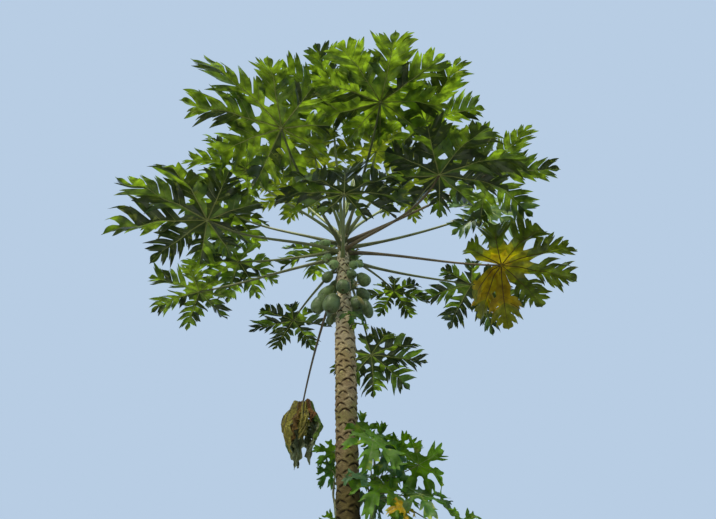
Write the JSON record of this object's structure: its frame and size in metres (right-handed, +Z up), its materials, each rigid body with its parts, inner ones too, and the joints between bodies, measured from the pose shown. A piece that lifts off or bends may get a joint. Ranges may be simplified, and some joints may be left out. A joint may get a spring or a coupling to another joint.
{
  "type": "papaya tree",
  "caption": "Unbranched fruiting plant: slim leaning trunk with root flare, a crown of long-stalked lobed leaves, fruit round the stem below it and small side shoots.",
  "frame": {"origin": "middle of the flat cut under the trunk, at ground level", "axes": "+Z up along the height of the tree; the picture looks along +Y, with +X to its right"},
  "size_m": [2.7026, 2.3957, 4.3746],
  "materials": {
    "bark": "pale tan bark with dark crescent leaf scars, matt",
    "leaf_green": "mature leaf, dark green with pale veins, matt",
    "young_leaf": "young leaf, fresh yellow-green, matt",
    "wilted_leaf": "wilted leaf, yellow-brown and olive, dull",
    "fruit_skin": "unripe green fruit skin, waxy",
    "shoot_leaf": "small shoot leaf, mid green, matt"
  },
  "bodies": {
    "root": {"trunk": "bark", "leaf_01": "leaf_green", "leaf_02": "leaf_green", "leaf_03": "leaf_green", "leaf_04": "leaf_green", "leaf_05": "leaf_green", "leaf_06": "leaf_green", "leaf_07": "leaf_green", "leaf_08": "leaf_green", "leaf_09": "leaf_green", "leaf_10": "leaf_green", "leaf_11": "leaf_green", "leaf_12": "leaf_green", "leaf_13": "leaf_green", "leaf_14": "leaf_green", "leaf_15": "leaf_green", "leaf_16": "leaf_green", "leaf_17": "leaf_green", "leaf_18": "leaf_green", "leaf_19": "leaf_green", "leaf_20": "young_leaf", "leaf_21": "young_leaf", "leaf_22": "young_leaf", "leaf_23": "young_leaf", "wilted_leaf": "wilted_leaf", "folded_leaves": "young_leaf", "papaya_01": "fruit_skin", "papaya_02": "fruit_skin", "papaya_03": "fruit_skin", "papaya_04": "fruit_skin", "papaya_05": "fruit_skin", "papaya_06": "fruit_skin", "papaya_07": "fruit_skin", "papaya_08": "fruit_skin", "papaya_09": "fruit_skin", "papaya_10": "fruit_skin", "papaya_11": "fruit_skin", "papaya_12": "fruit_skin", "papaya_13": "fruit_skin", "papaya_14": "fruit_skin", "papaya_15": "fruit_skin", "papaya_16": "fruit_skin", "papaya_17": "fruit_skin", "papaya_18": "fruit_skin", "papaya_19": "fruit_skin", "papaya_20": "fruit_skin", "papaya_21": "fruit_skin", "papaya_22": "fruit_skin", "papaya_23": "fruit_skin", "papaya_24": "fruit_skin", "side_shoot": "shoot_leaf", "back_shoot": "shoot_leaf", "trunk_sprout": "shoot_leaf"}
  },
  "joints": []
}
